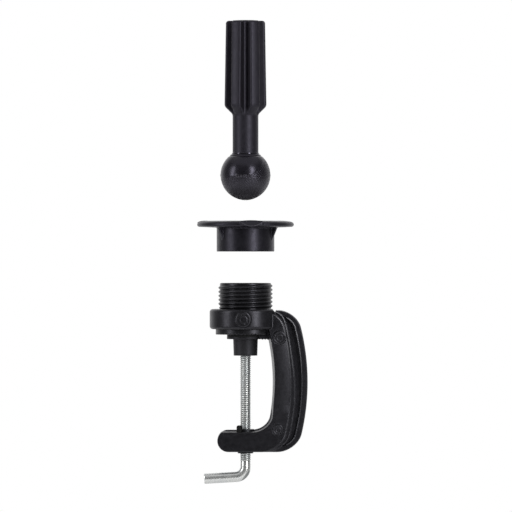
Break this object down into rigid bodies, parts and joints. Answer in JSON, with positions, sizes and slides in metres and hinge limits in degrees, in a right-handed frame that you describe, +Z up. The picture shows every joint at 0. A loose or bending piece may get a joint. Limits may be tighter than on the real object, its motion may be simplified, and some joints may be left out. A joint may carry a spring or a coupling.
{
  "type": "table clamp with ball joint stem",
  "caption": "C-shaped table clamp with crank screw and swivel pad, threaded ball socket, lobed ring nut and a ball stem with a ribbed tapered head plug, stored apart as on the bench.",
  "frame": {"origin": "centre of the fixed jaw's face, on the line shared by screw, socket, nut and stem", "axes": "+Z up along that line towards the head plug, +X towards the C frame's spine, -Y to the clamp's front"},
  "size_m": [0.0788, 0.0692, 0.3315],
  "materials": {
    "frame_nylon": "moulded glass-filled nylon, black, fine grain with a soft sheen",
    "nut_nylon": "moulded nylon, black, satin",
    "stem_nylon": "moulded nylon, black, satin",
    "cap_nylon": "moulded nylon covers, black",
    "pad_nylon": "matte black nylon",
    "pad_rubber": "matte black rubber",
    "liner_rubber": "black friction rubber",
    "zinc_steel": "bright zinc-plated steel",
    "dark_steel": "black oxide steel",
    "spring_steel": "spring steel",
    "joint_acetal": "acetal"
  },
  "bodies": {
    "clamp": {"clamp_frame": "frame_nylon", "threaded_socket": "frame_nylon", "ball_seat_liner": "liner_rubber", "socket_bolt": "zinc_steel", "jaw_ring": "frame_nylon", "collar_cap": "cap_nylon", "upper_frame_cap": "cap_nylon", "lower_frame_cap": "cap_nylon", "screw_bush": "dark_steel", "bush_retainer": "dark_steel"},
    "pad": {"pressure_pad": "pad_nylon", "pad_facing": "pad_rubber", "pad_clip": "spring_steel"},
    "screw": {"clamp_screw": "zinc_steel"},
    "nut_seat": {"split_clamp_ring": "joint_acetal"},
    "nut": {"ring_nut": "nut_nylon"},
    "stem_carrier": {"joint_bead": "joint_acetal"},
    "side_carrier": {"tilt_ring_inner": "joint_acetal"},
    "fore_carrier": {"tilt_ring_outer": "joint_acetal"},
    "ball_stem": {"ball": "stem_nylon", "stem": "stem_nylon", "stem_washer": "zinc_steel", "stem_bolt": "zinc_steel"}
  },
  "joints": [
    {"name": "pad_travel", "type": "slide", "parent": "clamp", "child": "pad", "axis": [0, 0, 1], "range_m": [-0.0495, 0]},
    {"name": "screw_turn", "type": "hinge", "parent": "pad", "child": "screw", "pos_m": [0, 0, -0.05], "axis": [0, 0, 1], "range_deg": [-12628, 0]},
    {"name": "nut_lift", "type": "slide", "parent": "clamp", "child": "nut_seat", "axis": [0, 0, 1], "range_m": [-0.0289, 0]},
    {"name": "nut_turn", "type": "hinge", "parent": "nut_seat", "child": "nut", "pos_m": [0, 0, 0.07], "axis": [0, 0, 1], "range_deg": [-3663, 0]},
    {"name": "stem_lift", "type": "slide", "parent": "clamp", "child": "stem_carrier", "axis": [0, 0, 1], "range_m": [-0.072, 0], "deforming": ["split_clamp_ring"]},
    {"name": "tilt_side", "type": "hinge", "parent": "stem_carrier", "child": "side_carrier", "pos_m": [0, 0, 0.11385], "axis": [0, 1, 0], "range_deg": [-18, 18]},
    {"name": "tilt_fore", "type": "hinge", "parent": "side_carrier", "child": "fore_carrier", "pos_m": [0, 0, 0.11385], "axis": [1, 0, 0], "range_deg": [-18, 18]},
    {"name": "stem_swivel", "type": "hinge", "parent": "fore_carrier", "child": "ball_stem", "pos_m": [0, 0, 0.11385], "axis": [0, 0, 1], "continuous": true}
  ],
  "couplings": [
    {"joint": "pad_travel", "follows": "screw_turn", "m_per_rad": 0.00022458},
    {"joint": "nut_lift", "follows": "nut_turn", "m_per_rad": 0.000452},
    {"joint": "stem_lift", "follows": "nut_turn", "m_per_rad": 0.0011261}
  ]
}
